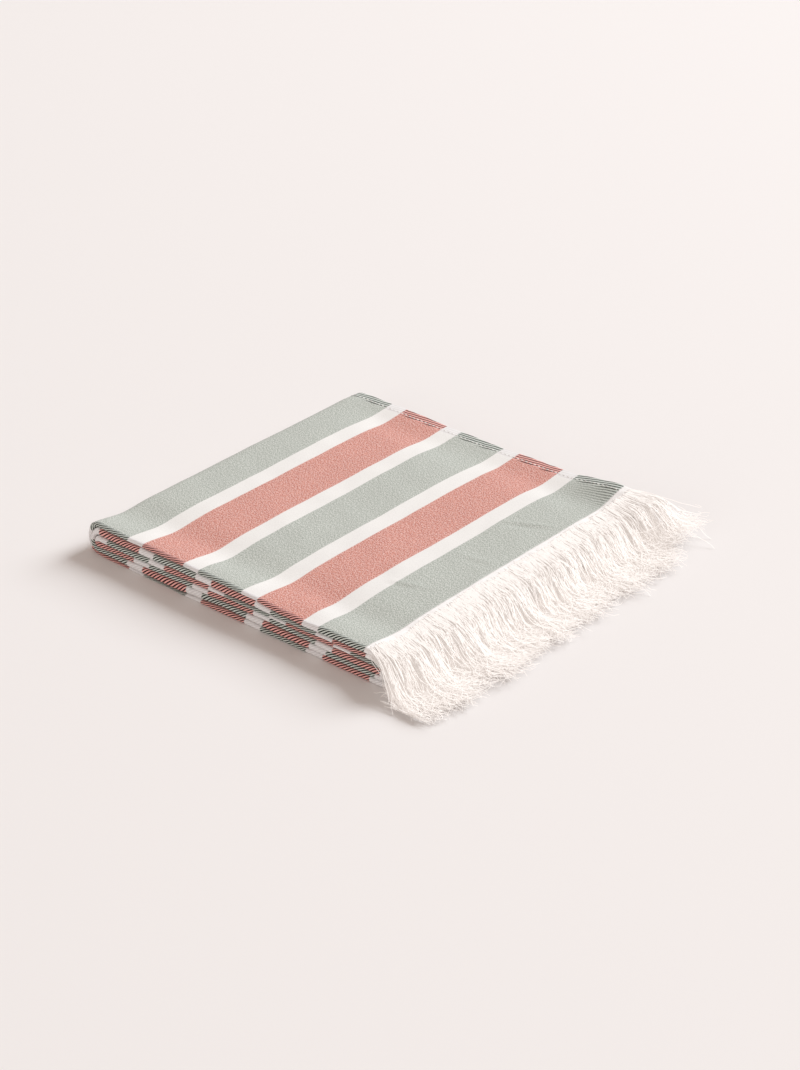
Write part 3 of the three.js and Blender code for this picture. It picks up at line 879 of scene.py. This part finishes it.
def thread_paths(root, length, heading, gather, fall_ends, pile, curl, random):
    """The middles of threads, as an array of threads by places by x, y, z.

    The height stays up to the first of fall_ends, falls in a smooth step to the pile's height
    at the second, and ripples more and more. The rest of each even step goes along the floor's
    directions at an angle: the heading, plus a slow sway, plus a curl that grows with the length
    to the power 2.5, plus a wiggle near the tip. gather draws the threads of a lock together in
    y. Past the fringe's two sides y is held back by a tanh.
    """
    u = np.linspace(0, 1, THREAD_PLACES)[None, :]
    fall = rise(u * column(length), column(fall_ends[0]), column(fall_ends[1]))
    count = len(length)
    phase = random.uniform(0, 2 * np.pi, (count, 4))
    turns = random.uniform(0.6, 1.6, (count, 4)) * [[1, 1, 2.6, 2.6]]
    loose = rise(u, 0.4, 0.95)
    slow, sway, quick, wiggle = np.sin(2 * np.pi * turns.T[..., None] * u + phase.T[..., None])
    z = column(root[:, 2]) * (1 - fall) + column(pile) * fall
    z = np.maximum(z + slow * 0.4 * rise(u, 0, 0.3) + quick * 0.6 * loose, LOWEST)
    step = column(length) / (THREAD_PLACES - 1)
    level = np.sqrt(np.maximum(step ** 2 - np.diff(z, axis=1) ** 2, (LEAST_ADVANCE * step) ** 2))
    angle = column(heading) + 0.14 * sway + column(curl) * u ** 2.5 + wiggle * loose
    along = (angle[:, 1:] + angle[:, :-1]) / 2
    start = np.zeros((count, 1))
    x = column(root[:, 0]) + np.concatenate([start, np.cumsum(level * np.cos(along), 1)], 1)
    y = column(root[:, 1]) + np.concatenate([start, np.cumsum(level * np.sin(along), 1)], 1)
    y = y + column(gather) * rise(u, 0.02, 0.5)
    y = np.where(y > FAR_SIDE, FAR_SIDE + SIDE_GIVE * np.tanh((y - FAR_SIDE) / SIDE_GIVE), y)
    y = np.where(y < NEAR_SIDE, NEAR_SIDE + SIDE_GIVE * np.tanh((y - NEAR_SIDE) / SIDE_GIVE), y)
    return np.stack([x, y, z], -1)


FLOOR_GAP = 0.05  # no thread goes lower than this over the floor


def thread_object(name, paths, radius, tints):
    """Thin three-sided tubes along paths, tapering a little to their tips. Their shading leans
    to the fringe's own outward direction, because light passes through such thin threads.
    """
    along = np.gradient(paths, axis=1)
    along /= np.linalg.norm(along, axis=-1, keepdims=True)
    side = np.cross(along, np.array([0.0, 0.35, 1.0]))
    side /= np.linalg.norm(side, axis=-1, keepdims=True)
    up = np.cross(side, along)
    taper = np.interp(np.linspace(0, 1, THREAD_PLACES), [0, 0.7, 1], [1, 1, 0.6])
    angle = np.arange(THREAD_SIDES) * 2 * np.pi / THREAD_SIDES + np.pi / 2
    width = np.asarray(radius)[:, None, None, None] * taper[None, :, None, None]
    across_thread = np.cos(angle)[:, None] * side[:, :, None]
    over_thread = np.sin(angle)[:, None] * up[:, :, None]
    ring = across_thread + over_thread
    points = paths[:, :, None] + width * ring
    points[..., 2] = np.maximum(points[..., 2], FLOOR_GAP)
    faces = tube_faces(len(paths), THREAD_PLACES, THREAD_SIDES)
    tint = np.repeat(tints, THREAD_PLACES * THREAD_SIDES)
    tip = np.tile(np.repeat(np.linspace(0, 1, THREAD_PLACES), THREAD_SIDES), len(paths))
    made = mesh_object(name, points.reshape(-1, 3), faces, None, [("tint", tint), ("tip", tip)])
    outward = 0.35 * ring + up[:, :, None] + np.array([0.0, 0.0, 0.8])
    outward /= np.linalg.norm(outward, axis=-1, keepdims=True)
    made.data.normals_split_custom_set_from_vertices(outward.reshape(-1, 3))
    return made


# Painted light: the fringe threads glow with this strength, though they are no lamp.
PAINTED_GLOW_STRENGTH = 0.48  # stands for the light that many thin white threads pass on to each other


def glowing_loose_thread(name):
    """Off-white cotton thread, a little different from one thread to the next. It glows with a
    painted light of its own, fainter at the roots than towards the tips.
    """
    material, tree, shader = material_of(name)
    tint = tree.nodes.new("ShaderNodeAttribute")
    tint.attribute_name = "tint"
    colour = ramp(tree, tint.outputs["Fac"], [
        (0.0, from_srgb(207, 200, 195)),
        (1.0, from_srgb(217, 212, 207)),
    ])
    tree.links.new(colour, shader.inputs["Base Color"])
    tip = tree.nodes.new("ShaderNodeAttribute")
    tip.attribute_name = "tip"
    # A painted glow: warm light given off by the threads, fainter near their roots, that lifts the
    # shade between them.
    painted_glow_colour = ramp(tree, tip.outputs["Fac"], [
        (0.15, (0.80, 0.72, 0.67, 1)),
        (0.7, (1.0, 0.90, 0.84, 1)),
    ])
    tree.links.new(painted_glow_colour, shader.inputs["Emission Color"])
    shader.inputs["Emission Strength"].default_value = PAINTED_GLOW_STRENGTH
    shader.inputs["Roughness"].default_value = 0.85
    shader.inputs["Sheen Weight"].default_value = 0.3
    shader.inputs["Sheen Roughness"].default_value = 0.6
    shader.inputs["Specular IOR Level"].default_value = 0.2
    return material


def lock_pull(y, random, spacing, tightness):
    """How far each thread is drawn along y to the middle of its lock, and its lock's number. The
    locks are spaced at random.
    """
    edges = np.cumsum(random.uniform(0.5, 1.5, int(2 * THIRD / spacing)) * spacing) - spacing
    number = np.searchsorted(edges, y)
    middles = np.concatenate([[edges[0]], (edges[1:] + edges[:-1]) / 2, [edges[-1]]])
    return (middles[number] - y) * tightness, number


glowing_thread_cotton = glowing_loose_thread("glowing_loose_thread")
HEADING_PLACES = (0, 14, 60, 200, 270, 300, 312)  # places along y
HEADINGS = (-24, -19, -14, -13, -11, -3, 9)  # degrees from straight out at those places
BACK_CURL = 0.45  # how much the tips turn back towards the far side, in radians
LOCK = 6  # the usual width of a lock
WIDE_LOCK = 22  # and of a group of locks
LOBE = 44  # from one rounded lump of the fringe's edge to the next
LOBE_SEED = 77  # the same in all layers, whose lumps lie on each other
CORNER_SHORTER = 0.22  # how much shorter the threads lie at the far corner
CORNER_HEAP = 2.8  # how much higher they are heaped there


def fringe_locks(name, node, row, start, count, seed, reach, fall_ends, heap, depths):
    """The threads of one layer of a fringe: locks that lie on each other in rounded lumps.

    Each value is a base, plus a part that the threads of a lock share, plus a random part of the
    thread's own. Threads are longer and lie higher in the middle of a lump, by a squared cosine
    across it. At the far corner they are shorter and lie higher still.
    """
    random = np.random.default_rng(seed)
    y = np.sort(random.uniform(1, THIRD - 1, count))
    layer = random.uniform(*depths, count)
    ragged = 1.4 * np.sin(y / 9.0 + seed) + 0.9 * np.sin(y / 23.0) + random.normal(0, 1.1, count)
    inset = np.clip(ragged, -3.2, 3.2) - 4.6
    root = settle(start + inset, y, row_height(row) + layer, np.zeros(count))
    small, lock = lock_pull(y, random, LOCK, 0.45)
    wide, _ = lock_pull(y, random, WIDE_LOCK, 0.32)
    lobe, _ = lock_pull(y, np.random.default_rng(LOBE_SEED), LOBE, 1.0)
    bulge = np.cos(lobe / LOBE * np.pi) ** 2
    lock_numbers = np.random.default_rng(seed + 1).uniform(-1, 1, (lock.max() + 1, 4))
    lock_random = lock_numbers[lock]
    heading = np.radians(np.interp(y, HEADING_PLACES, HEADINGS) + 5 * lock_random[:, 0])
    far_corner = fade(THIRD - y, 22)
    length = reach * (0.78 + 0.32 * bulge + 0.05 * lock_random[:, 1] + random.normal(0, 0.03, count))
    length = length * (1 - CORNER_SHORTER * far_corner)
    heaped = 0.5 + 0.35 * lock_random[:, 2] + 0.5 * bulge + CORNER_HEAP * far_corner
    pile = 0.4 + heap * heaped
    pile = pile + np.abs(random.normal(0, 1.2, count))
    brink = fall_ends[0] + 3 * lock_random[:, 3] + random.normal(0, 1.2, count)
    landing = fall_ends[1] + 5 * lock_random[:, 2] + random.normal(0, 3, count)
    curl = BACK_CURL + 1.2 * lock_random[:, 1] + random.normal(0, 1.1, count)
    paths = thread_paths(root, length, heading, small + wide, (brink, landing), pile, curl, random)
    made = thread_object(name, paths, random.uniform(0.2, 0.3, count), random.uniform(0, 1, count))
    made.data.materials.append(glowing_thread_cotton)
    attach(made, "root")
    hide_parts(node)
    return made


LAYER_THREADS = 1290
TOP_LAYERS = (
    {
        "name": "fringe_top_outer", "seed": 11, "reach": 84, "fall_ends": (18, 54), "heap": 3.6,
        "depths": (HALF, HALF + 0.3),
    },
    {
        "name": "fringe_top_middle", "seed": 12, "reach": 81, "fall_ends": (17, 50), "heap": 2.6,
        "depths": (0.0, HALF - 0.3),
    },
    {
        "name": "fringe_top_inner", "seed": 13, "reach": 78, "fall_ends": (16, 46), "heap": 1.2,
        "depths": (-HALF + 0.4, 0.3),
    },
)
top_fringe = [
    fringe_locks(node="fringe_top", row=1, start=STRIPED + END_BAND, count=LAYER_THREADS, **layer)
    for layer in TOP_LAYERS
]
under_fringe = [
    fringe_locks(
        "fringe_under_threads", "fringe_under", row=LAST_ROW, start=LAST_ROW_END + END_BAND,
        count=LAYER_THREADS, seed=21, reach=66, fall_ends=(13, 36), heap=0.6,
        depths=(-HALF + 0.4, HALF - 0.4),
    ),
]

# A few single threads have come away from the fringe's locks and lie on their own. Each starts at
# the band, bends once and ends on the floor.
LOOSE_THREADS = (
    {"root_y": 3, "bend": (322, -4, 16), "tip": (337, -26)},
    {"root_y": 5, "bend": (326, -8, 14), "tip": (352, -22)},
    {"root_y": 2, "bend": (318, -2, 15), "tip": (329, -15)},
    {"root_y": 92, "bend": (352, 84, 9), "tip": (372, 92)},
    {"root_y": 96, "bend": (362, 80, 8), "tip": (366, 104)},
    {"root_y": 150, "bend": (345, 138, 9), "tip": (368, 136)},
    {"root_y": 238, "bend": (350, 226, 10), "tip": (378, 228)},
    {"root_y": 309, "bend": (330, 326, 18), "tip": (362, 331)},
    {"root_y": 306, "bend": (336, 318, 16), "tip": (372, 319)},
)
LOOSE_RADIUS = 0.3
TIP_HEIGHT = 0.5
LEAST_HEIGHT = 0.4
WOBBLE = (0.5, 0.9, 0.3)  # how far the threads waver in x, y and z


def loose_thread_paths():
    """The middles of the single threads: a quadratic curve from root over bend to tip, plus a
    sine that fades in.
    """
    count = len(LOOSE_THREADS)
    root_y = np.array([thread["root_y"] for thread in LOOSE_THREADS], float)
    bend = np.array([thread["bend"] for thread in LOOSE_THREADS], float)
    tip = np.array([(*thread["tip"], TIP_HEIGHT) for thread in LOOSE_THREADS], float)
    root_x = np.full(count, STRIPED + END_BAND - 2.0)
    root = settle(root_x, root_y, row_height(1) + HALF, np.zeros(count))
    u = np.linspace(0, 1, THREAD_PLACES)[None, :, None]
    curve = (1 - u) ** 2 * root[:, None] + 2 * u * (1 - u) * bend[:, None] + u ** 2 * tip[:, None]
    wobble = np.sin(u * 17 + root_y[:, None, None]) * WOBBLE * rise(u, 0.2, 0.6)
    return np.maximum(curve + wobble, [-np.inf, -np.inf, LEAST_HEIGHT])


loose_threads = thread_object(
    "loose_threads", loose_thread_paths(), np.full(len(LOOSE_THREADS), LOOSE_RADIUS),
    np.full(len(LOOSE_THREADS), 0.5),
)
loose_threads.data.materials.append(glowing_thread_cotton)
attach(loose_threads, "root")
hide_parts("fringe_top")
